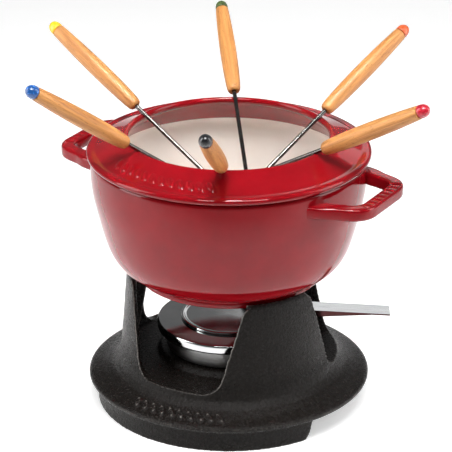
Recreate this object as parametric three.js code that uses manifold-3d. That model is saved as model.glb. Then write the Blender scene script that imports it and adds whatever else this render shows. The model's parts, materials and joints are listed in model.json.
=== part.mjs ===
// Fondue pot set: enamelled pot with two loop handles on a cast-iron stand, spirit burner with a
// regulator lever, splash ring and six long forks. Units are millimetres and +Z is up.
// The origin is on the pot's axis at table height. The burner lever points along +X.
// Bearings are degrees seen from above: 0 faces the front of the set (-Y), 90 is +X.

import * as THREE from 'three';
import { mergeVertices } from 'three/addons/utils/BufferGeometryUtils.js';
import Module from 'manifold-3d';

const wasm = await Module();
wasm.setup();

const DEG = Math.PI / 180;
const GAP = 0.3; // clearance between pieces that touch
const ROUND = 44; // segments around the large turned shapes

// ---------------------------------------------------------------- driving dimensions

const STAND = {
  skirtRadius: 98,
  flangeRadius: 104.2,
  collarRadius: 80.3,
  mouthRadius: 75.3,
  height: 103.3,
  wall: 4.2,
  floorZ: 35.8,
  seatZ: 39.7,
  seatRadius: 50,
  ventRadius: 24,
  underFlangeZ: 14.5,
  legBearings: [30, 150, 270],
  windowBearings: [90, 210, 330],
  gripBearings: [65, 245],
  gripHalfAngle: 30.5,
  ledgeZ: 97.5,
  ledgeRadius: 59,
  ribHalfWidth: 9,
};

const POT = {
  footRadius: 66.9,
  footZ: 97.8,
  rimRadius: 100.5,
  rimZ: 191.4,
  wall: 5.4,
  floorZ: 109.5,
};

const HANDLE = {
  bearings: [58, 238],
  topZ: 184.3,
  thickness: 9.5,
  rootHalfWidth: 48.5,
  tipHalfWidth: 33,
  reach: 129,
  bar: 11,
  arm: 9.5,
};

const RING = {
  outerRadius: 103.3,
  crestRadius: 74.4,
  crestZ: 207.7,
  seatZ: POT.rimZ + GAP,
  notchWidth: 6,
  notchLift: 0.5,
};

const BURNER = {
  panRadius: 46.5,
  panZ: STAND.seatZ + GAP,
  rimRadius: 53,
  rimTopZ: 61.9,
  rimBottomZ: 54.9,
  sheet: 1.2,
  discRadius: 35.5,
  discTopZ: 64.4,
  cupRadius: 29,
};

const LEVER = {
  width: 15.5,
  innerX: 14,
  tipX: 119.5,
  rootTopZ: 70,
  rootX: 60,
  slope: 3.3 * DEG,
  sheet: 1.2,
  foldDepth: 5.6,
  foldEndX: 105,
};

const FORK = {
  shaftRadius: 1.55,
  shaftLength: 174,
  tang: 14,
  handleLength: 88,
  capLength: 8,
  headLength: 34,
  headHalfWidth: 3.1,
  headThickness: 1.4,
  barb: 0.7,
  prong: 1.6,
};

// One row per fork: where it crosses the crest, where its handle points, how steeply it rises,
// and how far its handle starts beyond the crest.
const FORKS = [
  { name: 'blue', crest: -60.4, heading: -57.0, rise: 35.7, start: 10.5, colour: 0x2f6fb0 },
  { name: 'yellow', crest: -121.5, heading: -129.7, rise: 28.5, start: 7.0, colour: 0xe3b411 },
  { name: 'green', crest: 176.6, heading: 186.8, rise: 26.2, start: 4.4, colour: 0x56651f },
  { name: 'orange', crest: 115.8, heading: 132.4, rise: 28.3, start: 5.5, colour: 0xb5561c },
  { name: 'red', crest: 56.0, heading: 55.4, rise: 29.7, start: 7.0, colour: 0xa31220 },
  { name: 'black', crest: -3.2, heading: -7.8, rise: 32.2, start: 6.5, colour: 0x17181a },
];

// Where the rivets that hold the lever down stand, in plan.
const LEVER_RIVETS = [[18, 0], [25, 0]];
const RIVET_RADIUS = 2;

// ---------------------------------------------------------------- materials

const look = (color, roughness, metalness) => () =>
  new THREE.MeshStandardMaterial({ color, roughness, metalness });

const castIron = look(0x3a3632, 0.62, 0.35);
const redEnamel = look(0xa10f1c, 0.16, 0.0);
const chrome = look(0xd7dadb, 0.08, 1.0);
const brushedSteel = look(0xa9aaa8, 0.34, 1.0);
const forkSteel = look(0x8d8b88, 0.14, 1.0);
const beech = look(0xd6985a, 0.45, 0.0);
const gauzeSteel = look(0x77756f, 0.5, 0.9);
const paleWadding = look(0xe6e1d4, 0.95, 0.0);
const lacquer = (color) => look(color, 0.18, 0.0);

// ---------------------------------------------------------------- geometry helpers

// A point at a bearing and radius, in plan.
function atBearing(bearing, radius) {
  return new THREE.Vector3(Math.sin(bearing * DEG) * radius, -Math.cos(bearing * DEG) * radius, 0);
}

// The turn about Z that carries +X onto a bearing.
const turnTo = (bearing) => (bearing - 90) * DEG;

function signedVolume(position, index) {
  const a = new THREE.Vector3();
  const b = new THREE.Vector3();
  const c = new THREE.Vector3();
  let sum = 0;
  for (let i = 0; i < index.length; i += 3) {
    a.fromBufferAttribute(position, index[i]);
    b.fromBufferAttribute(position, index[i + 1]);
    c.fromBufferAttribute(position, index[i + 2]);
    sum += a.dot(b.cross(c));
  }
  return sum / 6;
}

// Welds a geometry into one closed shell whose faces point outwards.
function shell(source) {
  const bare = new THREE.BufferGeometry();
  bare.setAttribute('position', source.getAttribute('position').clone());
  if (source.index) bare.setIndex(source.index.clone());
  const welded = mergeVertices(bare, 1e-3);
  const index = [];
  const old = welded.index.array;
  for (let i = 0; i < old.length; i += 3) {
    const [a, b, c] = [old[i], old[i + 1], old[i + 2]];
    if (a !== b && b !== c && c !== a) index.push(a, b, c);
  }
  if (signedVolume(welded.getAttribute('position'), index) < 0) index.reverse();
  welded.setIndex(index);
  return welded;
}

function toManifold(geometry) {
  const welded = shell(geometry);
  return new wasm.Manifold(new wasm.Mesh({
    numProp: 3,
    vertProperties: new Float32Array(welded.getAttribute('position').array),
    triVerts: new Uint32Array(welded.index.array),
  }));
}

function fromManifold(body) {
  const mesh = body.getMesh();
  const geometry = new THREE.BufferGeometry();
  geometry.setAttribute('position', new THREE.BufferAttribute(new Float32Array(mesh.vertProperties), 3));
  geometry.setIndex(new THREE.BufferAttribute(new Uint32Array(mesh.triVerts), 1));
  return geometry;
}

function combine(base, added = [], removed = []) {
  let body = toManifold(base);
  for (const geometry of added) body = body.add(toManifold(geometry));
  for (const geometry of removed) body = body.subtract(toManifold(geometry));
  return fromManifold(body);
}

// Turns a closed [radius, z] outline about the Z axis.
function turned(outline, segments = ROUND) {
  const points = outline.map(([r, z]) => new THREE.Vector2(r, z));
  return new THREE.LatheGeometry(points, segments).rotateX(90 * DEG);
}

const closed = (outline) => [...outline, outline[0]];

// A flat plate from a plan shape, its top face at topZ.
function plate(shape, thickness, topZ, bevel = 0) {
  const geometry = new THREE.ExtrudeGeometry(shape, {
    depth: thickness - 2 * bevel,
    bevelEnabled: bevel > 0,
    bevelThickness: bevel,
    bevelSize: bevel,
    bevelOffset: -bevel,
    bevelSegments: 2,
    curveSegments: 4,
  });
  return geometry.translate(0, 0, topZ - thickness + bevel);
}

// A shape drawn in the vertical XZ plane, extruded sideways to +-half in Y.
function sidewaysSlab(points, half) {
  const shape = new THREE.Shape(points.map(([x, z]) => new THREE.Vector2(x, z)));
  const geometry = new THREE.ExtrudeGeometry(shape, { depth: 2 * half, bevelEnabled: false });
  return geometry.translate(0, 0, -half).rotateX(90 * DEG);
}

function mesh(name, geometry, material) {
  const solid = shell(geometry);
  solid.computeVertexNormals();
  const piece = new THREE.Mesh(solid, material());
  piece.name = name;
  return piece;
}

// ---------------------------------------------------------------- stand

// The turned outline of the casting: skirt, flange, collar and the floor inside it.
function standOutline() {
  const s = STAND;
  return closed([
    [s.skirtRadius, 0],
    [s.skirtRadius - 1.5, s.underFlangeZ],
    [s.skirtRadius + 0.5, s.underFlangeZ + 2],
    [s.flangeRadius - 1.2, s.underFlangeZ + 2.8],
    [s.flangeRadius, s.underFlangeZ + 4.2],
    [s.flangeRadius, s.underFlangeZ + 6],
    [s.flangeRadius - 1.4, s.underFlangeZ + 7.2],
    [94, 24.4],
    [87, 27.6],
    [82.6, 32],
    [s.collarRadius, 38],
    [s.mouthRadius + 1.9, 76],
    [s.mouthRadius, s.height - 2],
    [s.mouthRadius - 1.2, s.height],
    [s.mouthRadius - s.wall + 1, s.height],
    [s.mouthRadius - s.wall, s.height - 1.2],
    [s.mouthRadius - s.wall + 2, 76],
    [s.collarRadius - s.wall, 42],
    [s.collarRadius - s.wall - 3, s.floorZ],
    [s.seatRadius + 3, s.floorZ],
    [s.seatRadius, s.seatZ],
    [s.ventRadius, s.seatZ],
    [s.ventRadius, s.floorZ - 2.5],
    [s.collarRadius - 9, s.floorZ - 4.5],
    [s.collarRadius, 25],
    [90, 18.5],
    [s.skirtRadius - 5.7, s.underFlangeZ],
    [s.skirtRadius - 4.2, 0],
  ]);
}

// A U-shaped cutter that opens one window between two legs, upwards through the mouth.
function windowCutter(bearing) {
  const sillZ = 35.9;
  const bottomHalf = 23;
  const sideHalf = 35.5;
  const mouthHalf = 47;
  const legCorner = 8;
  const shape = new THREE.Shape();
  shape.moveTo(-bottomHalf, sillZ);
  shape.lineTo(bottomHalf, sillZ);
  shape.quadraticCurveTo(sideHalf - 2, sillZ + 1, sideHalf, sillZ + 13);
  shape.lineTo(mouthHalf - 1.6, STAND.height - legCorner);
  shape.quadraticCurveTo(mouthHalf, STAND.height, mouthHalf + legCorner, STAND.height + 0.4);
  shape.lineTo(mouthHalf + legCorner, STAND.height + 10);
  shape.lineTo(-mouthHalf - legCorner, STAND.height + 10);
  shape.lineTo(-mouthHalf - legCorner, STAND.height + 0.4);
  shape.quadraticCurveTo(-mouthHalf, STAND.height, 1.6 - mouthHalf, STAND.height - legCorner);
  shape.lineTo(-sideHalf, sillZ + 13);
  shape.quadraticCurveTo(2 - sideHalf, sillZ + 1, -bottomHalf, sillZ);
  const geometry = new THREE.ExtrudeGeometry(shape, { depth: 60, bevelEnabled: false, curveSegments: 4 });
  geometry.rotateX(90 * DEG).rotateZ(90 * DEG);
  return geometry.translate(55, 0, 0).rotateZ(turnTo(bearing));
}

// A wedge that opens the skirt for fingers, leaving the flange above it whole.
function gripCutter(bearing) {
  const outer = STAND.flangeRadius + 20;
  const lowTan = Math.tan(STAND.gripHalfAngle * DEG);
  const highTan = Math.tan((STAND.gripHalfAngle - 5) * DEG);
  const inner = 60;
  const corners = [];
  for (const [z, tan] of [[-1, lowTan], [STAND.underFlangeZ - 0.5, highTan]]) {
    corners.push([inner, -inner * tan, z], [outer, -outer * tan, z]);
    corners.push([outer, outer * tan, z], [inner, inner * tan, z]);
  }
  const faces = [
    0, 2, 1, 0, 3, 2,
    4, 5, 6, 4, 6, 7,
    0, 1, 5, 0, 5, 4,
    1, 2, 6, 1, 6, 5,
    2, 3, 7, 2, 7, 6,
    3, 0, 4, 3, 4, 7,
  ];
  const geometry = new THREE.BufferGeometry();
  geometry.setAttribute('position', new THREE.Float32BufferAttribute(corners.flat(), 3));
  geometry.setIndex(faces);
  return geometry.rotateZ(turnTo(bearing));
}

// The inner rib of one leg. The pot's foot rests on its flat top.
function legRib(bearing) {
  const outer = STAND.mouthRadius - 1.5;
  const outline = [
    [outer, STAND.ledgeZ],
    [STAND.ledgeRadius, STAND.ledgeZ],
    [STAND.ledgeRadius + 1, STAND.ledgeZ - 5],
    [STAND.collarRadius - 15, 62],
    [STAND.collarRadius - 8, STAND.floorZ - 2],
    [STAND.collarRadius - 2, STAND.floorZ - 2],
  ];
  return sidewaysSlab(outline, STAND.ribHalfWidth).rotateZ(turnTo(bearing));
}

function standMesh() {
  const geometry = combine(
    turned(standOutline()),
    STAND.legBearings.map(legRib),
    [...STAND.windowBearings.map(windowCutter), ...STAND.gripBearings.map(gripCutter)],
  );
  return mesh('stand_casting', geometry, castIron);
}

// ---------------------------------------------------------------- pot

// Outer side of the pot from the foot up to the rim.
function potOuterProfile() {
  const p = POT;
  return [
    [p.footRadius - 4.5, p.footZ],
    [p.footRadius - 0.8, p.footZ],
    [p.footRadius, p.footZ + 1.2],
    [p.footRadius, p.footZ + 3.6],
    [p.footRadius - 0.6, p.footZ + 4.9],
    [68.6, 104],
    [73.4, 105.8],
    [78.4, 108.9],
    [82.3, 112.4],
    [85.4, 116.6],
    [87.8, 121],
    [90.3, 127.4],
    [93.4, 138.6],
    [96.1, 150.2],
    [98.6, 160.5],
    [100, 171],
    [p.rimRadius, 180],
    [p.rimRadius, p.rimZ - 1.6],
    [p.rimRadius - 1.4, p.rimZ],
  ];
}

// Inner side of the pot from the rim down to the floor.
function potInnerProfile() {
  const p = POT;
  const inner = p.rimRadius - p.wall;
  return [
    [inner - 4.4, p.rimZ],
    [inner - 5.8, p.rimZ - 1.8],
    [inner - 5.4, p.rimZ - 6],
    [inner - 1.5, p.rimZ - 11],
    [inner - 0.6, 171],
    [inner - 4.4, 150.2],
    [inner - 8, 134],
    [inner - 11.4, 124],
    [inner - 18, 114.5],
    [inner - 27, p.floorZ],
    [0, p.floorZ - 1],
  ];
}

function potMesh() {
  const underside = [[0, POT.footZ + 5.5], [POT.footRadius - 7, POT.footZ + 4.6]];
  const outline = [...underside, ...potOuterProfile(), ...potInnerProfile()];
  return mesh('pot_body', turned(outline), redEnamel);
}

// The outline of a loop handle in plan, for a handle that points along +X.
function loopOutline(rootX, rootHalf, tipX, tipHalf, corner) {
  const shape = new THREE.Shape();
  const lean = (rootHalf - tipHalf) / (tipX - rootX);
  const sideAt = (x) => rootHalf - lean * (x - rootX);
  shape.moveTo(rootX, -rootHalf);
  shape.lineTo(tipX - corner, -sideAt(tipX - corner));
  shape.quadraticCurveTo(tipX, -tipHalf, tipX, corner - tipHalf);
  shape.lineTo(tipX, tipHalf - corner);
  shape.quadraticCurveTo(tipX, tipHalf, tipX - corner, sideAt(tipX - corner));
  shape.lineTo(rootX, rootHalf);
  shape.closePath();
  return shape;
}

function potHandle(name, bearing) {
  const h = HANDLE;
  const outerCorner = 12;
  const innerCorner = 7;
  const wallX = POT.rimRadius - 14;
  const loop = loopOutline(wallX, h.rootHalfWidth, h.reach, h.tipHalfWidth, outerCorner);
  const holeX = POT.rimRadius - 18;
  const holeRootHalf = h.rootHalfWidth - h.arm + 3;
  const holeTipHalf = h.tipHalfWidth - h.arm + 2;
  const hole = loopOutline(holeX, holeRootHalf, h.reach - h.bar, holeTipHalf, innerCorner);
  const potSide = turned(
    [
      [0, h.topZ - 20],
      [POT.rimRadius + GAP, h.topZ - 20],
      [POT.rimRadius + GAP, h.topZ + 5],
      [0, h.topZ + 5],
    ],
  );
  const edge = 2.4;
  const cutter = plate(hole, h.thickness + 4, h.topZ + 2);
  const turn = turnTo(bearing);
  const blank = plate(loop, h.thickness, h.topZ, edge).rotateZ(turn);
  return mesh(name, combine(blank, [], [cutter.rotateZ(turn), potSide]), redEnamel);
}

// ---------------------------------------------------------------- splash ring

function ringOutline() {
  const { outerRadius, crestRadius, crestZ, seatZ } = RING;
  const spigot = POT.rimRadius - POT.wall - 6.4;
  return closed([
    [outerRadius - 2.6, seatZ],
    [outerRadius - 0.9, seatZ + 0.6],
    [outerRadius, seatZ + 2.5],
    [outerRadius - 0.7, seatZ + 4.4],
    [outerRadius - 3.1, seatZ + 5.5],
    [outerRadius - 6, seatZ + 5.2],
    [outerRadius - 7.2, seatZ + 5.4],
    [86, 201.6],
    [80, 204.6],
    [crestRadius + 1.6, crestZ - 0.8],
    [crestRadius, crestZ],
    [crestRadius - 1.2, crestZ - 0.4],
    [crestRadius - 2.1, crestZ - 1.7],
    [crestRadius - 2.2, crestZ - 3.3],
    [crestRadius - 1.5, crestZ - 4.7],
    [crestRadius + 0.2, crestZ - 5.9],
    [crestRadius + 2.2, crestZ - 8.3],
    [78.5, 196.2],
    [83, 191],
    [spigot - 1.8, seatZ - 4.7],
    [spigot - 0.7, seatZ - 5.8],
    [spigot, seatZ - 5.3],
    [spigot + 0.2, seatZ],
  ]);
}

// A round-bottomed groove across the crest where one fork's shaft lies.
function notchCutter(fork) {
  const radius = RING.notchWidth / 2;
  const groove = new THREE.CylinderGeometry(radius, radius, 60, 10).rotateZ(90 * DEG);
  groove.rotateY(-fork.rise * DEG).rotateZ(turnTo(fork.heading));
  const spot = crestPoint(fork);
  return groove.translate(spot.x, spot.y, spot.z + radius - FORK.shaftRadius - RING.notchLift);
}

function ringMesh() {
  const geometry = combine(turned(ringOutline()), [], FORKS.map(notchCutter));
  return mesh('splash_ring', geometry, redEnamel);
}

// ---------------------------------------------------------------- burner

function burnerPan() {
  const { panRadius, panZ, rimRadius, rimBottomZ, sheet } = BURNER;
  const lipZ = rimBottomZ + 1.6;
  return turned([
    [0, panZ],
    [panRadius - 2, panZ],
    [panRadius, panZ + 2],
    [panRadius, lipZ - 2],
    [panRadius + 1.4, lipZ],
    [rimRadius - sheet - GAP, lipZ],
    [rimRadius - sheet - GAP, lipZ + sheet],
    [panRadius + 0.6, lipZ + sheet],
    [panRadius - sheet, lipZ - 1.4],
    [panRadius - sheet, panZ + 2.4],
    [panRadius - 2.8, panZ + sheet],
    [0, panZ + sheet],
  ], 32);
}

function burnerCover() {
  const { rimRadius, rimTopZ, rimBottomZ, sheet, discRadius, cupRadius } = BURNER;
  const plateZ = rimTopZ + 0.5;
  return turned(closed([
    [rimRadius - sheet, rimBottomZ],
    [rimRadius, rimBottomZ],
    [rimRadius, rimTopZ - 1.2],
    [rimRadius - 1, rimTopZ],
    [discRadius + 1, plateZ],
    [cupRadius + 1.2, plateZ],
    [cupRadius + 1.2, plateZ - sheet],
    [discRadius + 1, plateZ - sheet],
    [rimRadius - 1.6, rimTopZ - sheet],
    [rimRadius - sheet, rimTopZ - sheet - 0.8],
  ]), 44);
}

function fuelCup() {
  const { cupRadius, panZ, sheet, rimTopZ } = BURNER;
  const baseZ = panZ + sheet + GAP;
  const topZ = rimTopZ - 3;
  return turned([
    [0, baseZ],
    [cupRadius - 1.5, baseZ],
    [cupRadius, baseZ + 1.5],
    [cupRadius, topZ],
    [cupRadius - sheet, topZ],
    [cupRadius - sheet, baseZ + 2],
    [cupRadius - 2.2, baseZ + sheet],
    [0, baseZ + sheet],
  ], 28);
}

function wadding() {
  const baseZ = BURNER.panZ + 2 * BURNER.sheet + 2 * GAP;
  const radius = BURNER.cupRadius - BURNER.sheet - GAP;
  return turned([
    [0, baseZ],
    [radius - 2, baseZ],
    [radius, baseZ + 2],
    [radius, 54.6],
    [radius - 1.5, 55.6],
    [0, 56],
  ], 24);
}

function gauze() {
  const radius = BURNER.cupRadius - BURNER.sheet - GAP;
  return turned([
    [0, 56.3],
    [radius - 1, 56.3],
    [radius, 56.7],
    [radius, 57.1],
    [radius - 1, 57],
    [0, 57],
  ], 32);
}

function gauzeRing() {
  const radius = BURNER.cupRadius - BURNER.sheet - GAP;
  return turned(closed([
    [radius - 4, 57.4],
    [radius, 57.4],
    [radius, 58.6],
    [radius - 3.4, 58.6],
  ]), 32);
}

// The round plate on top of the burner that the lever turns, with a drawn-down edge.
function regulatorDisc() {
  const { discRadius, discTopZ, rimTopZ } = BURNER;
  const underZ = rimTopZ + 0.5 + GAP;
  return turned([
    [0, underZ + 0.6],
    [discRadius - 1.4, underZ + 0.6],
    [discRadius - 1, underZ],
    [discRadius, underZ],
    [discRadius, discTopZ - 0.4],
    [discRadius - 0.6, discTopZ],
    [discRadius - 2.4, discTopZ],
    [discRadius - 3.2, discTopZ - 0.5],
    [0, discTopZ - 0.5],
  ], 32);
}

// Height of the lever's top face at a distance along it.
const leverTopAt = (x) => LEVER.rootTopZ - (x - LEVER.rootX) * Math.tan(LEVER.slope);

// The lever: a flat strip with both long edges folded down. The folds taper away before the tip
// and stand on the regulator disc at the inner end.
function regulatorLever() {
  const v = LEVER;
  const half = v.width / 2;
  const discZ = BURNER.discTopZ - 0.5 + GAP;
  const strip = sidewaysSlab([
    [v.innerX, leverTopAt(v.innerX)],
    [v.innerX, leverTopAt(v.innerX) - v.sheet],
    [v.tipX, leverTopAt(v.tipX) - v.sheet],
    [v.tipX, leverTopAt(v.tipX)],
  ], half);
  const fold = () => sidewaysSlab([
    [v.innerX, leverTopAt(v.innerX) - v.sheet / 2],
    [v.innerX, discZ],
    [BURNER.discRadius - 4, discZ],
    [BURNER.discRadius - 3, leverTopAt(BURNER.discRadius) - v.foldDepth],
    [v.rootX, leverTopAt(v.rootX) - v.foldDepth],
    [v.foldEndX, leverTopAt(v.foldEndX) - v.sheet - 0.2],
    [v.foldEndX, leverTopAt(v.foldEndX) - v.sheet / 2],
  ], v.sheet / 2);
  const foldY = half - v.sheet / 2;
  const tongue = sidewaysSlab([
    [v.innerX, discZ],
    [v.innerX + 14, discZ],
    [v.innerX + 14, discZ + v.sheet],
    [v.innerX, discZ + v.sheet],
  ], half);
  const rivetHoles = LEVER_RIVETS.map(([x, y]) => rivetHole(x, y));
  const folds = [fold().translate(0, foldY, 0), fold().translate(0, -foldY, 0)];
  return combine(strip, [...folds, tongue], rivetHoles);
}

function rivetHole(x, y) {
  const depth = 6;
  const hole = new THREE.CylinderGeometry(RIVET_RADIUS, RIVET_RADIUS, depth, 16);
  return hole.rotateX(90 * DEG).translate(x, y, BURNER.discTopZ);
}

// A dome-headed rivet that stands on the disc and holds the lever's tongue down.
function rivet(x, y) {
  const baseZ = BURNER.discTopZ - 0.5 + GAP;
  const headZ = baseZ + LEVER.sheet + GAP;
  return turned([
    [0, baseZ],
    [RIVET_RADIUS - GAP, baseZ],
    [RIVET_RADIUS - GAP, headZ],
    [RIVET_RADIUS + 1, headZ],
    [2.6, headZ + 0.9],
    [1.5, headZ + 1.5],
    [0, headZ + 1.7],
  ], 14).translate(x, y, 0);
}

function burnerMeshes() {
  const pieces = [
    mesh('burner_pan', burnerPan(), brushedSteel),
    mesh('burner_cover', burnerCover(), chrome),
    mesh('fuel_cup', fuelCup(), brushedSteel),
    mesh('fuel_wadding', wadding(), paleWadding),
    mesh('burner_gauze', gauze(), gauzeSteel),
    mesh('gauze_ring', gauzeRing(), brushedSteel),
    mesh('regulator_disc', regulatorDisc(), chrome),
    mesh('regulator_lever', regulatorLever(), chrome),
  ];
  LEVER_RIVETS.forEach(([x, y], i) => pieces.push(mesh(`lever_rivet_${i + 1}`, rivet(x, y), chrome)));
  return pieces;
}

// ---------------------------------------------------------------- forks

// Where a fork's axis passes over the crest of the ring.
function crestPoint(fork) {
  const spot = atBearing(fork.crest, RING.crestRadius);
  spot.z = RING.crestZ + 0.95;
  return spot;
}

// Carries a piece drawn along +X, with x = 0 at the crest, onto one fork's line.
function place(geometry, fork) {
  const spot = crestPoint(fork);
  return geometry
    .translate(fork.start, 0, 0)
    .rotateY(-fork.rise * DEG)
    .rotateZ(turnTo(fork.heading))
    .translate(spot.x, spot.y, spot.z);
}

// The flat two-pronged head in plan, from its root to the points. Each prong has an outward barb.
// One side is drawn and then mirrored.
function forkHeadShape() {
  const { headHalfWidth: w, headLength: len, shaftLength, barb, prong } = FORK;
  const tip = -shaftLength;
  const root = tip + len;
  const right = [
    [root, 1.2],
    [root - 6, 1.8],
    [root - 11, w],
    [tip + 6.5, w],
    [tip + 6, w + barb],
    [tip, w - prong + 0.3],
    [tip + 1, w - prong],
    [root - 12, w - prong],
    [root - 10.6, 1.2],
  ];
  const left = right.map(([x, y]) => [x, -y]).reverse();
  return new THREE.Shape([...right, ...left].map(([x, y]) => new THREE.Vector2(x, y)));
}

function forkShaft(fork) {
  const { shaftRadius, shaftLength, tang, headLength, headThickness } = FORK;
  const rodEnd = -shaftLength + headLength - 6;
  const length = tang - rodEnd;
  const rod = new THREE.CylinderGeometry(shaftRadius, shaftRadius, length, 10)
    .rotateZ(90 * DEG)
    .translate((tang + rodEnd) / 2, 0, 0);
  const head = plate(forkHeadShape(), headThickness, headThickness / 2);
  return place(combine(rod, [head]), fork);
}

// Turned along its own length: x runs from the neck at 0 to the far end.
function alongX(outline, segments) {
  return turned(outline, segments).rotateY(90 * DEG);
}

function forkHandle(fork) {
  const { handleLength: len, shaftRadius, tang } = FORK;
  const bore = shaftRadius + GAP;
  return place(alongX([
    [0, tang + GAP],
    [bore, tang + GAP],
    [bore, 0],
    [3.4, 0],
    [4.8, 1.4],
    [5.3, 4],
    [6.1, len * 0.25],
    [6.3, len * 0.5],
    [5.9, len * 0.75],
    [4.9, len],
    [0, len],
  ], 12), fork);
}

function forkCap(fork) {
  const from = FORK.handleLength + GAP;
  const len = FORK.capLength;
  return place(alongX([
    [0, from],
    [4.7, from],
    [4.8, from + 2.6],
    [4.2, from + 5],
    [2.7, from + 7],
    [0, from + len],
  ], 12), fork);
}

function forkMeshes(fork) {
  return [
    mesh(`fork_${fork.name}_shaft`, forkShaft(fork), forkSteel),
    mesh(`fork_${fork.name}_handle`, forkHandle(fork), beech),
    mesh(`fork_${fork.name}_cap`, forkCap(fork), lacquer(fork.colour)),
  ];
}

// ---------------------------------------------------------------- assembly

const set = new THREE.Group();
set.name = 'fondue_pot_set';
set.add(standMesh());
set.add(potMesh());
set.add(potHandle('pot_handle_right', HANDLE.bearings[0]));
set.add(potHandle('pot_handle_left', HANDLE.bearings[1]));
set.add(ringMesh());
set.add(...burnerMeshes());
for (const fork of FORKS) set.add(...forkMeshes(fork));

export default set;
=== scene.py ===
import json
import math

import bmesh
import bpy
import numpy as np
from mathutils import Matrix, Vector


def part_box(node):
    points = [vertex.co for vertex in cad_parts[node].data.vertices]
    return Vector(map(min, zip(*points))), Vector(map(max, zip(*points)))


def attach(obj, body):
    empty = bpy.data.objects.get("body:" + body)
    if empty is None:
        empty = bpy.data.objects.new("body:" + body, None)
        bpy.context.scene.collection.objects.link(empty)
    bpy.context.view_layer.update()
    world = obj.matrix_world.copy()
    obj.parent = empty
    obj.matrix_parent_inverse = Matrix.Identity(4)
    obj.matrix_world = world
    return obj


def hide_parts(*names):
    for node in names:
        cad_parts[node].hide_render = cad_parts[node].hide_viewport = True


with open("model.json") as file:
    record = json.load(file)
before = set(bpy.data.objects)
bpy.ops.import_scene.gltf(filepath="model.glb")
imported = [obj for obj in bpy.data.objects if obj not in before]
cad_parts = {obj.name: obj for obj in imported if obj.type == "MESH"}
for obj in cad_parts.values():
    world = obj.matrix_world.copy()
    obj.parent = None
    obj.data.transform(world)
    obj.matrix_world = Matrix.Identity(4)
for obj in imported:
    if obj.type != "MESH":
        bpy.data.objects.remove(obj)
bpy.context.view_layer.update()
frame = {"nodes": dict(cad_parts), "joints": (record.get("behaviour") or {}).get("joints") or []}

MM = 0.001
UP = Vector((0, 0, 1))
CAD_SIDES = 44  # flat sides of the turned shapes in the CAD model
WIRE = 1.55  # radius of a fork's wire, in millimetres

# Rows of raised leaning ovals: bearings of the first and last one, and their spacing, in degrees.
LEAF_LEAN = math.radians(55)
RING_LEAVES = {"first": -60, "last": -8, "pitch": 4.7, "length": 11 * MM, "width": 4.4 * MM}
RING_LEAF_HEIGHT = 0.9 * MM
FLANGE_LEAVES = {"first": -44, "last": -4, "pitch": 4.7, "length": 10.5 * MM, "width": 4.4 * MM}
FLANGE_LEAF_HEIGHT = 1.2 * MM
FORK_COLOURS = {
    "blue": (0.012, 0.085, 0.30),
    "yellow": (0.80, 0.47, 0.012),
    "green": (0.050, 0.085, 0.020),
    "orange": (0.50, 0.085, 0.020),
    "red": (0.46, 0.012, 0.028),
    "black": (0.010, 0.010, 0.012),
}


# ---------------------------------------------------------------- materials


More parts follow.
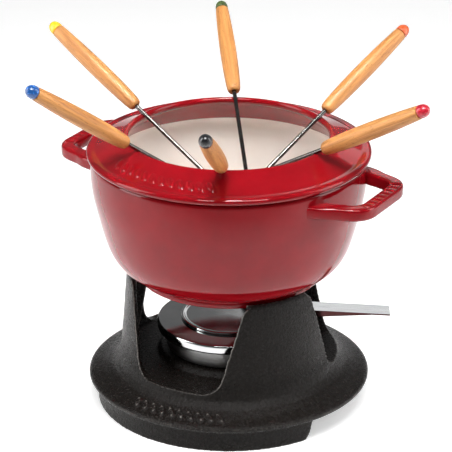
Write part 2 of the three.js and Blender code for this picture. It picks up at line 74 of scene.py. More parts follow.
class Surface:
    """A procedural material: one Principled shader, with short ways to add and join nodes."""

    def __init__(self, name, **constants):
        self.material = bpy.data.materials.new(name)
        self.material.use_nodes = True
        self.tree = self.material.node_tree
        self.shader = self.tree.nodes["Principled BSDF"]
        for socket, value in constants.items():
            self.shader.inputs[socket.replace("_", " ")].default_value = value
        self.place = self.tree.nodes.new("ShaderNodeTexCoord").outputs["Object"]
        self.normal = None

    def node(self, kind, settings=None, **inputs):
        """Adds a node. Each input is a number, a colour or another node's output."""
        made = self.tree.nodes.new("ShaderNode" + kind)
        for key, value in (settings or {}).items():
            setattr(made, key, value)
        for socket, value in inputs.items():
            target = made.inputs[socket.replace("_", " ")]
            if isinstance(value, bpy.types.NodeSocket):
                self.tree.links.new(value, target)
            else:
                target.default_value = value
        return made

    def stretched(self, scale):
        """Coordinates scaled unevenly, for grain that runs one way."""
        return self.node("Mapping", Vector=self.place, Scale=scale).outputs[0]

    def around(self, scale_round, scale_out, scale_up):
        """Coordinates that run round the Z axis, outwards and up, for marks left by turning."""
        split = self.node("SeparateXYZ", Vector=self.place).outputs
        flat = self.node("CombineXYZ", X=split[0], Y=split[1]).outputs[0]
        out = self.node("VectorMath", {"operation": "LENGTH"})
        self.tree.links.new(flat, out.inputs[0])
        angle = self.node("Math", {"operation": "ARCTAN2"})
        self.tree.links.new(split[1], angle.inputs[0])
        self.tree.links.new(split[0], angle.inputs[1])
        joined = self.node("CombineXYZ", X=angle.outputs[0], Y=out.outputs["Value"], Z=split[2])
        scale = (scale_round, scale_out, scale_up)
        return self.node("Mapping", Vector=joined.outputs[0], Scale=scale).outputs[0]

    def noise(self, scale, detail=3.0, rough=0.5, at=None, distortion=0.0):
        """Cloudy noise from about 0.25 to 0.75. scale counts spots per metre."""
        made = self.node(
            "TexNoise", Vector=at or self.place, Scale=scale, Detail=detail, Roughness=rough,
            Distortion=distortion,
        )
        return made.outputs["Fac"]

    def spread(self, value, low, high, from_low=0.0, from_high=1.0):
        """Maps a value from one range to another, and clamps it there."""
        made = self.node("MapRange", Value=value, From_Min=from_low, From_Max=from_high)
        made.inputs["To Min"].default_value = low
        made.inputs["To Max"].default_value = high
        return made.outputs[0]

    def ramp(self, value, *stops):
        """A colour from a value, through (value, colour) stops."""
        made = self.node("ValToRGB", Fac=value)
        bar = made.color_ramp
        while len(bar.elements) < len(stops):
            bar.elements.new(0.5)
        for element, (at, colour) in zip(bar.elements, stops):
            element.position = at
            element.color = (*colour, 1)
        return made.outputs["Color"]

    def bump(self, height, depth, strength=1.0):
        """Adds relief, depth metres deep, on top of the relief already there."""
        made = self.node("Bump", Height=height, Distance=depth, Strength=strength)
        if self.normal is not None:
            self.tree.links.new(self.normal, made.inputs["Normal"])
        self.normal = made.outputs[0]
        self.join(self.normal, "Normal")

    def join(self, value, socket):
        """Links a node's output to one of the shader's sockets."""
        self.tree.links.new(value, self.shader.inputs[socket])


def enamel(name, deep, bright, spots):
    """Glass enamel fired over iron: colour that pools unevenly, under a clear wavy gloss.

    spots is the scale of the duller patches.
    """
    gloss = {"Coat_Weight": 1.0, "Coat_Roughness": 0.03, "Coat_IOR": 1.38, "Specular_IOR_Level": 0.0}
    s = Surface(name, **gloss)
    s.join(s.ramp(s.noise(34, 4, 0.6), (0.3, deep), (0.7, bright)), "Base Color")
    s.join(s.spread(s.noise(spots, 2), 0.20, 0.32), "Roughness")
    s.bump(s.noise(80, 0), 0.00005)
    return s.material


def cast_iron():
    """Sand-cast iron under matt black enamel: fine grain, a few pits, and a pale painted highlight along its
    sharp edges.
    """
    s = Surface("cast_iron", Specular_IOR_Level=0.14)
    edge = s.node("NewGeometry").outputs["Pointiness"]
    # Pointiness picks out the sharp edges, which get a painted highlight instead of a lit one.
    painted_edge_highlight = s.spread(edge, 0, 0.9, 0.525, 0.565)
    grain = s.noise(520, 5, 0.7)
    body = s.ramp(grain, (0.3, (0.004, 0.0030, 0.0024)), (0.75, (0.011, 0.0090, 0.0075)))
    iron_with_painted_highlight = s.node("MixRGB", Fac=painted_edge_highlight, Color1=body)
    # Pale grey colour of the painted edge highlight.
    iron_with_painted_highlight.inputs["Color2"].default_value = (0.30, 0.28, 0.26, 1)
    s.join(iron_with_painted_highlight.outputs[0], "Base Color")
    s.join(s.spread(s.noise(500, 3), 0.20, 0.34), "Roughness")
    s.bump(s.noise(28, 2), 0.0006, 0.6)
    s.bump(grain, 0.0008, 1.0)
    pits = s.node("TexVoronoi", Vector=s.place, Scale=420.0)
    s.bump(s.spread(pits.outputs["Distance"], 0, 1, 0.0, 0.3), 0.00012, 0.5)
    return s.material


def chrome():
    """Bright plate with faint buffing lines and finger haze."""
    s = Surface("chrome", Metallic=1.0)
    s.join(s.ramp(s.noise(60, 3), (0.2, (0.50, 0.51, 0.52)), (0.8, (0.62, 0.62, 0.62))), "Base Color")
    s.join(s.spread(s.noise(90, 4), 0.05, 0.13), "Roughness")
    s.bump(s.noise(1, 3, at=s.around(6, 2600, 2600)), 0.00002, 0.5)
    return s.material


def turned_steel(name, tint):
    """Spun sheet steel with lines that run round the axis."""
    s = Surface(name, Metallic=1.0)
    dark = tuple(0.72 * c for c in tint)
    lines = s.noise(1, 4, 0.7, at=s.around(5, 1900, 1900))
    s.join(s.ramp(lines, (0.3, dark), (0.7, tint)), "Base Color")
    s.join(s.spread(lines, 0.22, 0.42), "Roughness")
    s.bump(lines, 0.00005, 0.6)
    return s.material


def lever_steel():
    """Plated strip with brushing along its length, and a painted dark red reflection on the faces turned to
    -Y.
    """
    s = Surface("lever_steel", Metallic=1.0)
    lines = s.noise(1, 3, 0.6, at=s.stretched((30, 2400, 900)))
    bright = s.ramp(lines, (0.25, (0.46, 0.47, 0.48)), (0.75, (0.74, 0.75, 0.76)))
    facing = s.node("SeparateXYZ", Vector=s.node("NewGeometry").outputs["Normal"]).outputs["Y"]
    # Faces turned to -Y get a painted dark red reflection instead of a real one.
    painted_reflection_mask = s.spread(facing, 1, 0, -0.7, -0.4)
    steel_with_painted_reflection = s.node("MixRGB", Fac=painted_reflection_mask, Color1=bright)
    # Dark red colour of the painted reflection.
    steel_with_painted_reflection.inputs["Color2"].default_value = (0.055, 0.022, 0.022, 1)
    s.join(steel_with_painted_reflection.outputs[0], "Base Color")
    s.join(s.spread(lines, 0.10, 0.20), "Roughness")
    s.bump(lines, 0.00002, 0.5)
    return s.material


def gauze():
    """Woven wire: two sets of parallel wires that cross."""
    s = Surface("gauze", Metallic=0.9)
    waves = []
    for direction in ("X", "Y"):
        made = s.node("TexWave", {"bands_direction": direction}, Vector=s.place, Scale=260.0)
        waves.append(made.outputs["Fac"])
    cloth = s.node("Math", {"operation": "MAXIMUM"})
    for i, wave in enumerate(waves):
        s.tree.links.new(wave, cloth.inputs[i])
    s.join(s.ramp(cloth.outputs[0], (0.3, (0.03, 0.03, 0.03)), (0.9, (0.42, 0.40, 0.37))), "Base Color")
    s.join(s.spread(s.noise(300), 0.35, 0.6), "Roughness")
    s.bump(cloth.outputs[0], 0.0004)
    return s.material


def fibre_pad():
    """A pale mineral-fibre pad."""
    s = Surface("fibre_pad", Roughness=0.95)
    strands = s.noise(420, 6, 0.75, distortion=1.5)
    s.join(s.ramp(strands, (0.3, (0.55, 0.51, 0.43)), (0.7, (0.88, 0.85, 0.78))), "Base Color")
    s.bump(strands, 0.0012)
    return s.material


def fork_steel():
    """Polished wire with drawing marks, darkened by use."""
    s = Surface("fork_steel", Metallic=1.0)
    s.join(s.ramp(s.noise(220, 4), (0.3, (0.10, 0.095, 0.09)), (0.7, (0.20, 0.19, 0.185))), "Base Color")
    s.join(s.spread(s.noise(700, 3), 0.10, 0.24), "Roughness")
    s.bump(s.noise(2200, 2), 0.00002, 0.4)
    return s.material


def beech(name, axis, seed):
    """Beech cut along axis: fine straight pores, broad growth bands and short dark flecks."""
    s = Surface(name, Coat_Weight=0.18, Coat_Roughness=0.28, Specular_IOR_Level=0.4)
    turn = axis.rotation_difference(Vector((1, 0, 0))).to_euler("XYZ")
    shift = (0.37 * seed, 0.21 * seed, 0.13 * seed)
    turned = s.node("Mapping", Vector=s.place, Rotation=tuple(turn)).outputs[0]

    def grain(along, across):
        scale = (along, across, across)
        return s.node("Mapping", Vector=turned, Scale=scale, Location=shift).outputs[0]

    bands = s.noise(1, 3, 0.5, at=grain(9, 210), distortion=0.6)
    pores = s.noise(1, 4, 0.7, at=grain(70, 2300))
    flecks = s.noise(1, 2, 0.5, at=grain(210, 1300))
    pale, warm, brown = (0.66, 0.310, 0.092), (0.42, 0.155, 0.038), (0.24, 0.080, 0.020)
    tone = s.ramp(bands, (0.28, warm), (0.50, pale), (0.72, warm))
    fine = s.node("MixRGB", {"blend_type": "MULTIPLY"}, Fac=0.65, Color1=tone)
    s.tree.links.new(s.ramp(pores, (0.30, (0.55, 0.45, 0.36)), (0.60, (1, 1, 1))), fine.inputs["Color2"])
    marked = s.node("MixRGB", Color1=fine.outputs[0])
    s.tree.links.new(s.spread(flecks, 0, 0.75, 0.62, 0.72), marked.inputs["Fac"])
    marked.inputs["Color2"].default_value = (*brown, 1)
    s.join(marked.outputs[0], "Base Color")
    s.join(s.spread(pores, 0.38, 0.55), "Roughness")
    s.bump(pores, 0.00012, 0.6)
    return s.material


def lacquer(name, colour):
    """Dipped lacquer with a slight sag and dust marks."""
    s = Surface(name, Coat_Weight=0.55, Coat_Roughness=0.05)
    pale = tuple(min(1.0, 1.25 * c + 0.004) for c in colour)
    s.join(s.ramp(s.noise(260, 3), (0.35, colour), (0.7, pale)), "Base Color")
    s.join(s.spread(s.noise(500), 0.22, 0.34), "Roughness")
    s.bump(s.noise(320, 1), 0.00012)
    return s.material


def studio_paper():
    """Plain white paper that glows a little round the set and turns greyer far in front of it."""
    s = Surface("studio_paper", Roughness=0.7, Specular_IOR_Level=0.1)
    s.shader.inputs["Emission Color"].default_value = (1, 1, 1, 1)
    grey_y, white_y = -0.52, -0.26
    across = s.node("SeparateXYZ", Vector=s.place).outputs["Y"]
    near = s.spread(across, 0, 1, grey_y, white_y)
    s.join(s.spread(near, 0.0, 0.42), "Emission Strength")
    shade = s.spread(s.noise(3, 2), -0.01, 0.01, 0.3, 0.7)
    tone = s.node("Math", {"operation": "ADD"})
    s.tree.links.new(s.spread(near, 0.5, 0.95), tone.inputs[0])
    s.tree.links.new(shade, tone.inputs[1])
    grey = s.node("CombineXYZ", X=tone.outputs[0], Y=tone.outputs[0], Z=tone.outputs[0])
    s.join(grey.outputs[0], "Base Color")
    return s.material


# ---------------------------------------------------------------- reading the frame


def welded(node):
    """The CAD node's mesh as a bmesh whose shared corners are joined."""
    bm = bmesh.new()
    bm.from_mesh(frame["nodes"][node].data)
    bmesh.ops.remove_doubles(bm, verts=bm.verts, dist=1e-6)
    return bm


def outline_of(node, bearing):
    """The (radius, z) outline of a turned CAD node, read along one bearing from the Z axis."""
    angle = math.radians(bearing)
    out = Vector((math.sin(angle), -math.cos(angle), 0))
    side = UP.cross(out)
    bm = welded(node)
    near = {v for v in bm.verts if abs(v.co.dot(side)) < 2e-5 and v.co.dot(out) > -1e-6}
    links = {v: [] for v in near}
    for edge in bm.edges:
        a, b = edge.verts
        if a in near and b in near:
            links[a].append(b)
            links[b].append(a)
    links = {v: found for v, found in links.items() if len(found) in (1, 2)}
    start = min(links, key=lambda v: (len(links[v]), v.co.z, v.co.dot(out)))
    path = [start]
    seen = {start}
    while True:
        step = next((v for v in links[path[-1]] if v in links and v not in seen), None)
        if step is None:
            break
        path.append(step)
        seen.add(step)
    outline = [(max(0.0, v.co.dot(out)), v.co.z) for v in path]
    is_loop = len(links[start]) == 2
    bm.free()
    return outline, is_loop


def softened(outline, is_loop, steps=5):
    """Rounds each corner of an outline with a curve that reaches at most halfway along its sides."""
    least_gap = 0.02 * MM
    points = [Vector(p) for p in outline]
    count = len(points)
    result = []
    for i, corner in enumerate(points):
        if not is_loop and i in (0, count - 1):
            result.append(corner)
            continue
        before, after = points[i - 1], points[(i + 1) % count]
        back, ahead = (before - corner).length, (after - corner).length
        reach_back = min(0.5 * back, 1.2 * ahead)
        reach_ahead = min(0.5 * ahead, 1.2 * back)
        start = corner.lerp(before, reach_back / back)
        end = corner.lerp(after, reach_ahead / ahead)
        for k in range(steps + 1):
            t = k / steps
            result.append(start.lerp(corner, t).lerp(corner.lerp(end, t), t))
    spaced = [result[0]]
    for point in result[1:]:
        if (point - spaced[-1]).length > least_gap:
            spaced.append(point)
    if is_loop and (spaced[0] - spaced[-1]).length < least_gap:
        spaced.pop()
    return spaced


def close_up(outline, is_loop, longest):
    """Adds points so that no side of the outline is longer than longest."""
    result = []
    ends = outline[1:] + ([outline[0]] if is_loop else [])
    for a, b in zip(outline, ends):
        parts = max(1, math.ceil((b - a).length / longest))
        result.extend(a.lerp(b, k / parts) for k in range(parts))
    if not is_loop:
        result.append(outline[-1])
    return result


# ---------------------------------------------------------------- building pieces


def piece(name, bm, body, slot, nodes, *materials):
    """Makes a smooth-shaded piece that rides on a body and stands for CAD nodes."""
    bmesh.ops.remove_doubles(bm, verts=bm.verts, dist=1e-6)
    bmesh.ops.recalc_face_normals(bm, faces=bm.faces)
    data = bpy.data.meshes.new(name)
    bm.to_mesh(data)
    bm.free()
    data.shade_smooth()
    made = bpy.data.objects.new(name, data)
    bpy.context.scene.collection.objects.link(made)
    for material in materials:
        data.materials.append(material)
    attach(made, body)
    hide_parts(*nodes)
    return made


def surface_of(rows, wrap_rows, wrap_columns, matrix=Matrix()):
    """A bmesh skin over a grid of points, rows joined to the next row."""
    bm = bmesh.new()
    grid = [[bm.verts.new(matrix @ Vector(p)) for p in row] for row in rows]
    row_pairs = [(i, i + 1) for i in range(len(grid) - 1)]
    if wrap_rows:
        row_pairs.append((len(grid) - 1, 0))
    width = len(grid[0])
    columns = width if wrap_columns else width - 1
    for i, j in row_pairs:
        for k in range(columns):
            n = (k + 1) % width
            corners = [grid[i][k], grid[j][k], grid[j][n], grid[i][n]]
            if len({tuple(round(c, 8) for c in v.co) for v in corners}) > 2:
                bm.faces.new(corners)
    return bm


def turned(outline, is_loop, segments, shape=None):
    """Turns an outline about Z. shape(bearing in radians, point index) moves a point along its normal."""
    count = len(outline)
    normals = []
    for i in range(count):
        before = outline[i - 1] if is_loop or i > 0 else outline[i]
        after = outline[(i + 1) % count] if is_loop or i < count - 1 else outline[i]
        along = (after - before).normalized()
        normals.append(Vector((along.y, -along.x)))
    rows = []
    for k in range(segments):
        bearing = 2 * math.pi * k / segments
        row = []
        for i, (point, normal) in enumerate(zip(outline, normals)):
            radius, z = point + normal * (shape(bearing, i) if shape else 0.0)
            row.append((radius * math.sin(bearing), -radius * math.cos(bearing), z))
        rows.append(row)
    return surface_of(rows, True, is_loop)


def turned_copy(name, node, body, slot, material, segments=160, bearing=0.0):
    """A finer version of a plain turned CAD node."""
    outline, is_loop = outline_of(node, bearing)
    return piece(name, turned(softened(outline, is_loop), is_loop, segments), body, slot, [node], material)


def smooth_step(value):
    """An S-shaped rise from 0 to 1 while value goes from 0 to 1."""
    t = min(1.0, max(0.0, value))
    return t * t * (3 - 2 * t)


def leaf_height(along, across, length, width, lean):
    """Height, from 0 to 1, of one raised oval that leans by an angle."""
    c, s = math.cos(lean), math.sin(lean)
    u = (along * c + across * s) / (0.5 * length)
    v = (across * c - along * s) / (0.5 * width)
    return smooth_step(1.9 * (1 - u * u - v * v))


def garland(bearing, radius, across, first, last, pitch, length, width):
    """Height of a row of leaning ovals that runs round between two bearings, in degrees."""
    degrees = math.degrees(bearing)
    degrees = degrees - 360 if degrees > 180 else degrees
    if not first - 3 < degrees < last + 3:
        return 0.0
    step = (last - first) / round((last - first) / pitch)
    nearest = first + step * round((degrees - first) / step)
    nearest = min(last, max(first, nearest))
    along = math.radians(degrees - nearest) * radius
    return leaf_height(along, across, length, width, LEAF_LEAN)


# ---------------------------------------------------------------- pot


def build_pot(red, cream):
    """The pot: red outside, cream inside from just under the rim."""
    red_band = 1.0 * MM
    rim_width = 4.2 * MM
    outside_base = 8 * MM
    outline, is_loop = outline_of("pot_body", 180.0)
    fine = close_up(softened(outline, is_loop), is_loop, longest=2.5 * MM)
    made = piece("pot_shell", turned(fine, is_loop, 288), "pot", "red_enamel", ["pot_body"], red, cream)
    lining_top = max(p.y for p in fine) - red_band
    lining_floor = min(p.y for p in fine) + outside_base
    lining_radius = max(p.x for p in fine) - rim_width
    for face in made.data.polygons:
        centre = face.center
        radius = math.hypot(centre.x, centre.y)
        inwards = face.normal.x * centre.x + face.normal.y * centre.y < 1e-9 or face.normal.z > 0.5
        if inwards and radius < lining_radius and lining_floor < centre.z < lining_top:
            face.material_index = 1
    return made


def handle_section(width, height, count=44):
    """A rounded bar section as (across, up) points, counted from its right side upwards."""
    squareness = 4.6  # 2 is an ellipse, and more is squarer
    power = 2 / squareness
    points = []
    for k in range(count):
        angle = 2 * math.pi * k / count
        c, s = math.cos(angle), math.sin(angle)
        across = math.copysign(abs(c) ** power, c) * width / 2
        up = math.copysign(abs(s) ** power, s) * height / 2
        points.append((across, up))
    return points


def loop_path(root_x, root_y, tip_x, tip_y, corner, spacing):
    """A trapezium-shaped loop in plan, with round corners, as evenly spaced points."""
    corner_steps = 12
    plan = [(root_x, -root_y), (tip_x, -tip_y), (tip_x, tip_y), (root_x, root_y)]
    corners = [Vector(point) for point in plan]
    rough = [corners[0]]
    for before, at, after in zip(corners, corners[1:], corners[2:]):
        start = at + (before - at).normalized() * corner
        end = at + (after - at).normalized() * corner
        for k in range(corner_steps + 1):
            t = k / corner_steps
            rough.append(start.lerp(at, t).lerp(at.lerp(end, t), t))
    rough.append(corners[-1])
    lengths = [0.0]
    for a, b in zip(rough, rough[1:]):
        lengths.append(lengths[-1] + (b - a).length)
    total = lengths[-1]
    steps = int(total / spacing)
    at = np.linspace(0, total, steps + 1)
    xs = np.interp(at, lengths, [p.x for p in rough])
    ys = np.interp(at, lengths, [p.y for p in rough])
    return [Vector((x, y)) for x, y in zip(xs, ys)], total


def build_handle(node, red):
    """A loop handle swept round its path, with a sunk panel and plain ribs on top of its bar."""
    low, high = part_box(node)
    height = high.z - low.z
    middle_z = (high.z + low.z) / 2
    out = Vector(((low.x + high.x) / 2, (low.y + high.y) / 2, 0)).normalized()
    side = UP.cross(out)
    corners = [v.co for v in frame["nodes"][node].data.vertices]
    reach = max(c.dot(out) for c in corners)
    root_half = max(c.dot(side) for c in corners)
    bar = 10.6 * MM
    tip_half = 28.4 * MM
    corner = 11 * MM
    wall = 98 * MM  # radius at which the loop sinks into the pot's wall
    follows_wall = 14 * MM  # length of the root that bends to the wall's curve
    flare_size, flare_start, flare_length = 0.35, 6 * MM, 12 * MM
    panel_half_length, panel_end = 25 * MM, 1.6 * MM
    panel_half_width, panel_side, panel_depth = 3.0 * MM, 0.7 * MM, 1.0 * MM
    rib_pitch, rib_height = 6.4 * MM, 0.7 * MM
    root_x = math.sqrt(wall ** 2 - (root_half - bar / 2) ** 2)
    path, total = loop_path(root_x, root_half - bar / 2, reach - bar / 2, tip_half, corner, 0.7 * MM)
    rows = []
    for i, point in enumerate(path):
        ahead = (path[min(i + 1, len(path) - 1)] - path[max(i - 1, 0)]).normalized()
        across = Vector((ahead.y, -ahead.x))
        along = total * i / (len(path) - 1)
        from_root = min(along, total - along)
        flare = 1 + flare_size * (1 - smooth_step((from_root - flare_start) / flare_length))
        at_wall = 1 - smooth_step(from_root / follows_wall)
        from_middle = abs(along - total / 2)
        panel = 1 - smooth_step((from_middle - panel_half_length) / panel_end)
        rib = math.cos(2 * math.pi * (along - total / 2) / rib_pitch)
        row = []
        for u, up in handle_section(bar * flare, height * min(1.0, flare)):
            inside = 1 - smooth_step((abs(u) - panel_half_width) / panel_side)
            if up > 0:
                up -= panel * inside * (panel_depth - rib_height * smooth_step(2.2 * rib - 0.6))
            spot = point + across * u
            spot.x += (math.sqrt(wall ** 2 - spot.y ** 2) - root_x) * at_wall
            row.append(out * spot.x + side * spot.y + UP * (middle_z + up))
        rows.append(row)
    bm = surface_of(rows, False, True)
    bmesh.ops.holes_fill(bm, edges=[e for e in bm.edges if e.is_boundary])
    return piece(f"{node}_loop", bm, "pot", "red_enamel", [node], red)


# ---------------------------------------------------------------- splash ring


def build_ring(red, forks):
    """The splash ring, with a raised garland at the front left and a groove for each fork."""
    outline, is_loop = outline_of("splash_ring", 90.0)
    fine = close_up(softened(outline, is_loop), is_loop, longest=0.9 * MM)
    top_z = max(p.y for p in fine)
    crest_radius = next(p.x for p in fine if p.y == top_z)
    outer = max(p.x for p in fine)
    mid_radius = crest_radius + 0.52 * (outer - crest_radius)
    slope = 1.08  # length down the dome for each unit of radius
    half_row = 5.5 * MM
    dome_start, dome_height = 4 * MM, 14 * MM
    dome = [p.x > crest_radius + dome_start and p.y > top_z - dome_height for p in fine]
    facing = []  # 1 or -1 where raising the surface means moving with or against its normal
    count = len(fine)
    for i in range(count):
        along = (fine[(i + 1) % count] - fine[i - 1]).normalized()
        facing.append(1.0 if -along.x > 0.3 else (-1.0 if along.x > 0.3 else 0.0))

    def leaves(bearing, i):
        across = (fine[i].x - mid_radius) * slope
        if not dome[i] or abs(across) > half_row:
            return 0.0
        height = garland(bearing, mid_radius, across, **RING_LEAVES)
        return RING_LEAF_HEIGHT * facing[i] * height

    bm = turned(fine, is_loop, 900, leaves)
    press_grooves(bm, forks, crest_radius)
    return piece("ring_shell", bm, "splash_ring", "red_enamel", ["splash_ring"], red)


def press_grooves(bm, forks, crest_radius):
    """Lowers the crest to a round groove under each fork's shaft."""
    groove = 3.0 * MM
    clearance = 0.5 * MM
    crest_half = 6 * MM
    groove_half_length = 30 * MM
    lift = groove - WIRE * MM - clearance
    for fork in forks.values():
        axis = fork["matrix"].col[0].to_3d()
        start = fork["matrix"].translation
        flat = Vector((axis.x, axis.y, 0))
        rise = axis.z / flat.length
        flat.normalize()
        side = UP.cross(flat)
        for v in bm.verts:
            away = v.co - start
            across = away.dot(side)
            from_crest = abs(math.hypot(v.co.x, v.co.y) - crest_radius)
            along = away.dot(flat)
            if abs(across) >= groove or from_crest > crest_half or abs(along) > groove_half_length:
                continue
            floor = start.z + along * rise + lift - math.sqrt(groove ** 2 - across ** 2)
            v.co.z = min(v.co.z, floor)


# ---------------------------------------------------------------- stand


def build_stand(iron):
    """The cast stand: the CAD shape with round sides, soft cast edges and a garland on its flange."""
    bm = welded("stand_casting")
    data = bpy.data.meshes.new("stand_blank")
    bm.to_mesh(data)
    bm.free()
    blank = bpy.data.objects.new("stand_blank", data)
    bpy.context.scene.collection.objects.link(blank)
    remesh = blank.modifiers.new("even", "REMESH")
    remesh.mode = "VOXEL"
    remesh.voxel_size = 0.85 * MM
    even = evaluated(blank)
    co = np.empty(len(even.vertices) * 3)
    even.vertices.foreach_get("co", co)
    co = co.reshape(-1, 3)
    rounded_sides(co)
    even.vertices.foreach_set("co", co.ravel())
    blank.data = even
    blank.modifiers.clear()
    smooth = blank.modifiers.new("cast", "SMOOTH")
    smooth.factor = 0.5
    smooth.iterations = 5
    cast = evaluated(blank)
    bpy.data.objects.remove(blank)
    flange_garland(cast)
    bm = bmesh.new()
    bm.from_mesh(cast)
    return piece("stand_cast", bm, "stand", "cast_iron", ["stand_casting"], iron)


def evaluated(obj):
    """A new mesh with the object's modifiers applied."""
    graph = bpy.context.evaluated_depsgraph_get()
    return bpy.data.meshes.new_from_object(obj.evaluated_get(graph))


def rounded_sides(co):
    """Moves points on the flat sides of a turned shape out to the circle that the sides stand for."""
    flange_from = 66 * MM  # the flange and skirt lie beyond this radius
    pitch = 2 * math.pi / CAD_SIDES
    bearing = np.arctan2(co[:, 0], -co[:, 1])
    off_middle = np.mod(bearing, pitch) - pitch / 2
    factor = np.cos(off_middle) / math.cos(pitch / 2)
    radius = np.hypot(co[:, 0], co[:, 1])
    factor = np.where(radius > flange_from, factor, 1.0)
    co[:, 0] *= factor
    co[:, 1] *= factor


def flange_garland(data):
    """Raises a row of ovals on the sloping top of the flange, at the front left."""
    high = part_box("stand_casting")[1]
    from_edge, half_row, flange_top = 9.5 * MM, 6 * MM, 30 * MM
    middle = high.x - from_edge
    co = np.empty(len(data.vertices) * 3)
    normals = np.empty(len(data.vertices) * 3)
    data.vertices.foreach_get("co", co)
    data.vertices.foreach_get("normal", normals)
    co = co.reshape(-1, 3)
    across = np.hypot(co[:, 0], co[:, 1]) - middle
    is_top = (normals.reshape(-1, 3)[:, 2] > 0.3) & (co[:, 2] < flange_top) & (co[:, 1] < 0)
    for i in np.flatnonzero(is_top & (np.abs(across) < half_row)):
        bearing = math.atan2(co[i, 0], -co[i, 1])
        co[i, 2] += FLANGE_LEAF_HEIGHT * garland(bearing, middle, across[i], **FLANGE_LEAVES)
    data.vertices.foreach_set("co", co.ravel())


# ---------------------------------------------------------------- burner


def build_burner(materials):
    """The burner's shells, turned again from the CAD, with its lever and rivets kept from it."""
    spun = materials["spun"]
    plate = materials["chrome"]
    turned_copy("pan_shell", "burner_pan", "burner", "brushed_steel", spun)
    turned_copy("cover_shell", "burner_cover", "burner", "chrome", plate)
    turned_copy("cup_shell", "fuel_cup", "burner", "brushed_steel", spun)
    turned_copy("pad_filling", "fuel_wadding", "burner", "wadding", materials["pad"])
    turned_copy("gauze_disc", "burner_gauze", "burner", "gauze", materials["gauze"])
    turned_copy("gauze_clip", "gauze_ring", "burner", "brushed_steel", spun)
    turned_copy("disc_shell", "regulator_disc", "regulator", "chrome", plate)
    for i in (1, 2):
        finish_cad_node(f"lever_rivet_{i}", plate, edge=0.15 * MM)
    finish_cad_node("regulator_lever", materials["lever"], edge=0.28 * MM)


def finish_cad_node(node, material, edge):
    """Keeps a CAD node, with a finer material and slightly broken edges."""
    obj = frame["nodes"][node]
    obj.data.materials.clear()
    obj.data.materials.append(material)
    bevel = obj.modifiers.new("edge", "BEVEL")
    bevel.width = edge
    bevel.segments = 2
    bevel.limit_method = "ANGLE"
    bevel.angle_limit = math.radians(30)


# ---------------------------------------------------------------- forks


def read_forks():
    """Each fork's placing: x runs out along its axis, from 0 at the neck of the handle."""
    forks = {}
    for name in FORK_COLOURS:
        joint = next(j for j in frame["joints"] if j["name"] == f"fork_{name}_slide")
        x = Vector(joint["axis"]).normalized()
        corners = [v.co for v in frame["nodes"][f"fork_{name}_handle"].data.vertices]
        neck = min(c.dot(x) for c in corners)
        ring = {tuple(round(a, 6) for a in c) for c in corners if c.dot(x) < neck + 1e-5}
        centre = sum((Vector(c) for c in ring), Vector()) / len(ring)
        y = UP.cross(x).normalized()
        z = x.cross(y)
        matrix = Matrix((x, y, z)).transposed().to_4x4()
        matrix.translation = centre
        length = max(c.dot(x) for c in corners) - neck
        shaft = [v.co.dot(x) - neck for v in frame["nodes"][f"fork_{name}_shaft"].data.vertices]
        cap = [v.co.dot(x) - neck for v in frame["nodes"][f"fork_{name}_cap"].data.vertices]
        forks[name] = {
            "matrix": matrix, "axis": x, "handle": length, "tip": min(shaft), "tang": max(shaft),
            "cap": (min(cap), max(cap)),
        }
    return forks


def rod(outline, matrix, segments):
    """Turns a (distance along, radius) outline about the fork's axis."""
    rows = []
    for k in range(segments):
        angle = 2 * math.pi * k / segments
        rows.append([(x, r * math.cos(angle), r * math.sin(angle)) for x, r in outline])
    return surface_of(rows, True, False, matrix)


def soft_rod(outline, matrix, segments):
    """A rod from an outline in millimetres, with its corners rounded."""
    in_metres = [(x * MM, r * MM) for x, r in outline]
    return rod([tuple(p) for p in softened(in_metres, False)], matrix, segments)


def build_fork(name, fork, steel, seed):
    """A fork's beech grip and dipped cap, from (distance past the neck, radius) outlines, and its wire."""
    matrix = fork["matrix"]
    body = f"fork_{name}"
    handle = fork["handle"] / MM
    wood = [
        (0, 1.9), (0, 3.2), (0.7, 4.2), (2.2, 4.9), (6, 5.35), (handle * 0.25, 6.1), (handle * 0.5, 6.3),
        (handle * 0.75, 5.9), (handle - 4, 5.1), (handle - 0.6, 4.9), (handle, 4.4), (handle, 0),
    ]
    grain = beech(f"beech_{name}", fork["axis"], seed)
    piece(f"{body}_grip", soft_rod(wood, matrix, 40), body, "beech", [f"{body}_handle"], grain)
    start, end = (v / MM for v in fork["cap"])
    dip = [
        (start, 0), (start, 4.3), (start + 0.5, 4.85), (start + 2.6, 4.8), (start + 4.8, 4.3),
        (start + 6.6, 3.1), (end - 0.3, 1.4), (end, 0),
    ]
    paint = lacquer(f"lacquer_{name}", FORK_COLOURS[name])
    piece(f"{body}_tip", soft_rod(dip, matrix, 40), body, f"cap_{name}", [f"{body}_cap"], paint)
    build_tines(body, fork, steel)


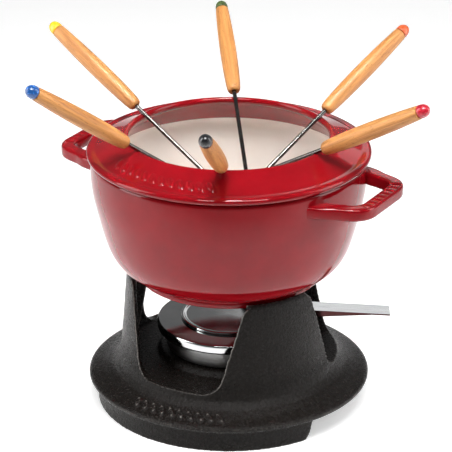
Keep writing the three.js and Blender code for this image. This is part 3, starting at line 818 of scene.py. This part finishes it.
def build_tines(body, fork, steel):
    """The wire and its two-pronged head in one piece. Outlines are in millimetres."""
    head_length = 34
    edge_inset = 0.25
    tip, tang = fork["tip"] / MM, fork["tang"] / MM
    root = tip + head_length
    shaft = [(root - 4, 0), (root - 4, 0.9), (root, 1.5), (root + 4, WIRE), (tang, WIRE), (tang, 0)]
    bm = soft_rod(shaft, fork["matrix"], 20)
    half = [
        (root, 1.25), (root - 4, 1.7), (root - 8, 3.2), (root - 11.5, 4.6), (tip + 7, 4.6),
        (tip + 6.2, 5.4), (tip + 3, 4.2), (tip, 2.8), (tip + 0.8, 2.5), (tip + 8, 2.5),
        (root - 13.5, 2.5), (root - 12, 1.9), (root - 11.4, 1.0),
    ]
    plan = half + [(x, -y) for x, y in reversed(half)]
    plan = [tuple(p) for p in softened(plan, True, 3)]
    thin, thick = 0.45 * MM, 0.7 * MM
    loops = []
    for z in (-thick, -thin, thin, thick):
        inset = edge_inset if abs(z) == thick else 0.0
        loops.append([bm.verts.new(fork["matrix"] @ Vector((*p, z))) for p in inset_plan(plan, inset)])
    count = len(plan)
    for a, b in zip(loops, loops[1:]):
        for k in range(count):
            bm.faces.new([a[k], a[(k + 1) % count], b[(k + 1) % count], b[k]])
    for end in (loops[0], loops[-1]):
        face = bm.faces.new(end)
        bmesh.ops.triangulate(bm, faces=[face])
    piece(f"{body}_wire", bm, body, "fork_steel", [f"{body}_shaft"], steel)


def inset_plan(plan, inset):
    """The plan outline in metres, drawn in by inset millimetres."""
    count = len(plan)
    result = []
    for i in range(count):
        before, at, after = (Vector(plan[(i + k) % count]) for k in (-1, 0, 1))
        along = (after - before).normalized()
        result.append((at + Vector((along.y, -along.x)) * inset) * MM)
    return result


# ---------------------------------------------------------------- studio


def build_camera():
    """Looks along +Y from the front, 23 degrees down onto the set, through a long lens."""
    place = (0, -1.6643, 0.8389)
    target = Vector((-0.0021, 0.0128, 0.1288))
    camera = bpy.data.objects.new("camera", bpy.data.cameras.new("camera"))
    camera.data.sensor_width = 36
    camera.data.lens = 196.7
    camera.location = place
    camera.rotation_euler = (target - camera.location).to_track_quat("-Z", "Y").to_euler()
    bpy.context.scene.collection.objects.link(camera)
    bpy.context.scene.camera = camera


def softbox(name, place, target, size, power, spread=180):
    """A rectangular light at a place, turned to a target. size is (width, height), power in watts."""
    data = bpy.data.lights.new(name, "AREA")
    data.shape = "RECTANGLE"
    data.size, data.size_y = size
    data.energy = power
    data.spread = math.radians(spread)
    light = bpy.data.objects.new(name, data)
    light.location = place
    light.rotation_euler = (Vector(target) - Vector(place)).to_track_quat("-Z", "Y").to_euler()
    bpy.context.scene.collection.objects.link(light)


def build_studio():
    """White table, a tall box on each side, boxes over the set and behind it, and a room darker in front."""
    bm = bmesh.new()
    bmesh.ops.create_grid(bm, x_segments=8, y_segments=8, size=6)
    data = bpy.data.meshes.new("table")
    bm.to_mesh(data)
    bm.free()
    data.materials.append(studio_paper())
    table = bpy.data.objects.new("table", data)
    bpy.context.scene.collection.objects.link(table)
    middle = (0, 0, 0.15)
    softbox("left_box", (-1.1, -0.15, 0.6), middle, size=(0.5, 1.1), power=9)
    softbox("right_box", (1.1, -0.1, 0.6), middle, size=(0.5, 1.1), power=7)
    softbox("top_box", (0.05, -0.68, 1.35), middle, size=(1.0, 0.34), power=19)
    softbox("pot_box", (0, -0.2, 1.3), (0, 0.04, 0.15), size=(0.24, 0.24), power=0.3, spread=24)
    softbox("back_box", (0.5, 1.8, 1.0), middle, size=(1.0, 0.5), power=1.45)
    world = bpy.data.worlds.new("room")
    world.use_nodes = True
    nodes, links = world.node_tree.nodes, world.node_tree.links
    way = nodes.new("ShaderNodeTexCoord").outputs["Generated"]
    split = nodes.new("ShaderNodeSeparateXYZ")
    links.new(way, split.inputs[0])
    ramp = nodes.new("ShaderNodeMapRange")
    links.new(split.outputs["Y"], ramp.inputs["Value"])
    for socket, value in (("From Min", -0.9), ("From Max", 0.3), ("To Min", 0.05), ("To Max", 0.17)):
        ramp.inputs[socket].default_value = value
    links.new(ramp.outputs[0], nodes["Background"].inputs["Strength"])
    nodes["Background"].inputs["Color"].default_value = (1, 1, 1, 1)
    bpy.context.scene.world = world
    bpy.context.scene.view_settings.view_transform = "Standard"


# ---------------------------------------------------------------- the set

build_camera()
build_studio()
red = enamel("red_enamel", (0.20, 0.0020, 0.0050), (0.255, 0.0030, 0.0072), 300)
cream = enamel("cream_enamel", (0.92, 0.85, 0.78), (0.96, 0.90, 0.84), 900)
forks = read_forks()
build_pot(red, cream)
for handle_node in ("pot_handle_right", "pot_handle_left"):
    build_handle(handle_node, red)
build_ring(red, forks)
build_stand(cast_iron())
build_burner({
    "spun": turned_steel("spun_steel", (0.62, 0.62, 0.61)),
    "chrome": chrome(),
    "pad": fibre_pad(),
    "gauze": gauze(),
    "lever": lever_steel(),
})
wire = fork_steel()
for seed, (fork_name, fork) in enumerate(forks.items(), 1):
    build_fork(fork_name, fork, wire, seed)
